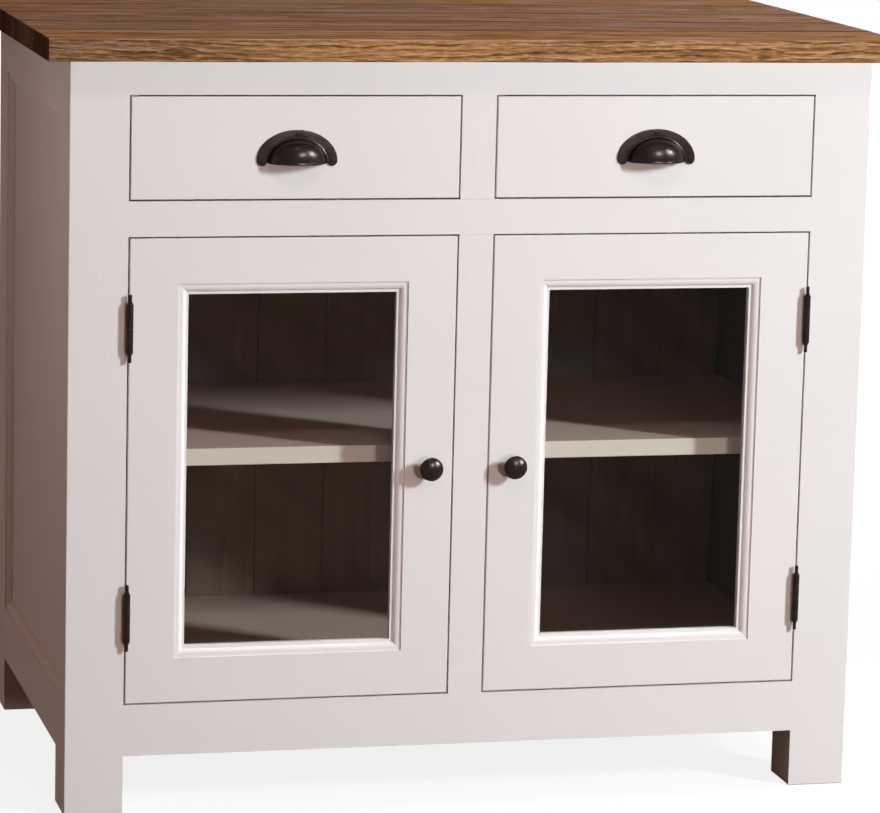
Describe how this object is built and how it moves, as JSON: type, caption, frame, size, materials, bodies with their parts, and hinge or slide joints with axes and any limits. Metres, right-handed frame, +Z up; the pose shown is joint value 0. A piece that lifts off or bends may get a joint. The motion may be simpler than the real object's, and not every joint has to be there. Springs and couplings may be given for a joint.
{
  "type": "kitchen base cabinet",
  "caption": "Free-standing painted base cabinet on square legs, with drawers over glazed doors under a stained plank worktop.",
  "frame": {"origin": "on the floor, under the middle of the worktop", "axes": "+X to the right seen from the front, +Y to the back, +Z up"},
  "size_m": [1, 0.6, 0.895],
  "materials": {
    "paint": "off-white eggshell paint, brushed, on softwood",
    "inside_paint": "cream paint, brushed, on softwood boards",
    "worktop_wood": "wire-brushed softwood planks, mid-brown stain and wax",
    "stained_boards": "dark brown stained softwood boards",
    "bare_pine": "bare planed pine",
    "dark_iron": "dark bronze-black, waxed, slightly hammered",
    "steel": "plain bright steel",
    "catch_plastic": "brown moulded plastic round a magnet",
    "glass": "clear float glass"
  },
  "bodies": {
    "cabinet": {"worktop": "worktop_wood", "front_leg_left": "paint", "front_leg_right": "paint", "back_leg_left": "paint", "back_leg_right": "paint", "top_rail": "paint", "middle_rail": "paint", "bottom_rail": "paint", "centre_stile": "paint", "side_top_rails": "paint", "side_bottom_rails": "paint", "side_panel_left": "paint", "side_panel_right": "paint", "side_mouldings": "paint", "back_rails": "paint", "back_boards": "stained_boards", "bottom_board": "inside_paint", "shelf": "inside_paint", "centre_post": "inside_paint", "bottom_cleats": "bare_pine", "shelf_cleats": "bare_pine", "drawer_runners": "bare_pine", "drawer_guides": "bare_pine", "drawer_kickers": "bare_pine", "drawer_stops": "bare_pine", "worktop_buttons": "bare_pine", "hinge_frame_leaves": "dark_iron", "hinge_pins": "steel", "cabinet_screws": "dark_iron", "magnet_catches": "catch_plastic"},
    "door_left": {"door_left_hinge_stile": "paint", "door_left_lock_stile": "paint", "door_left_rails": "paint", "door_left_glazing_beads": "paint", "door_left_glass": "glass", "door_left_knob": "dark_iron", "door_left_hinge_leaves": "dark_iron", "door_left_strike_plate": "steel", "door_left_screws": "dark_iron"},
    "door_right": {"door_right_hinge_stile": "paint", "door_right_lock_stile": "paint", "door_right_rails": "paint", "door_right_glazing_beads": "paint", "door_right_glass": "glass", "door_right_knob": "dark_iron", "door_right_hinge_leaves": "dark_iron", "door_right_strike_plate": "steel", "door_right_screws": "dark_iron"},
    "drawer_left": {"drawer_left_front": "paint", "drawer_left_sides": "bare_pine", "drawer_left_back": "bare_pine", "drawer_left_bottom": "bare_pine", "drawer_left_cup_pull": "dark_iron", "drawer_left_screws": "dark_iron"},
    "drawer_right": {"drawer_right_front": "paint", "drawer_right_sides": "bare_pine", "drawer_right_back": "bare_pine", "drawer_right_bottom": "bare_pine", "drawer_right_cup_pull": "dark_iron", "drawer_right_screws": "dark_iron"}
  },
  "joints": [
    {"name": "door_left_hinge", "type": "hinge", "parent": "cabinet", "child": "door_left", "pos_m": [-0.401, -0.269, 0.3985], "axis": [0, 0, -1], "range_deg": [0, 175]},
    {"name": "door_right_hinge", "type": "hinge", "parent": "cabinet", "child": "door_right", "pos_m": [0.401, -0.269, 0.3985], "axis": [0, 0, 1], "range_deg": [0, 175]},
    {"name": "drawer_left_slide", "type": "slide", "parent": "cabinet", "child": "drawer_left", "axis": [0, -1, 0], "range_m": [0, 0.33]},
    {"name": "drawer_right_slide", "type": "slide", "parent": "cabinet", "child": "drawer_right", "axis": [0, -1, 0], "range_m": [0, 0.33]}
  ]
}
